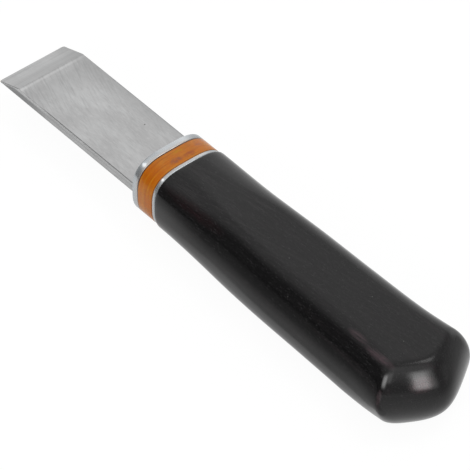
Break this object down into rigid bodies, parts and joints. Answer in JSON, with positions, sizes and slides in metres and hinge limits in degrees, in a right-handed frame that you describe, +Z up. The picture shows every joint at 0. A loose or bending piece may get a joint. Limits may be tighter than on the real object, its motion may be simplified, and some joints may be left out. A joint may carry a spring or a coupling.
{
  "type": "leather skiving knife",
  "caption": "Fixed skiving knife for leather with a straight single-bevel steel blade, polished plates around an amber spacer and a flared black wooden handle.",
  "frame": {"origin": "middle of the overall box in plan, on the plane the flat underside of the handle rests on", "axes": "+X from the cutting edge to the butt, +Z up out of the bevelled side of the blade"},
  "size_m": [0.189, 0.0348, 0.0234],
  "materials": {
    "ground_steel": "satin ground",
    "polished_plate": "polished",
    "amber_spacer": "stained and polished",
    "black_wood": "polished",
    "adhesive": "cured"
  },
  "bodies": {
    "root": {"blade": "ground_steel", "front_plate": "polished_plate", "spacer": "amber_spacer", "rear_plate": "polished_plate", "handle": "black_wood", "tang_epoxy": "adhesive"}
  },
  "joints": []
}
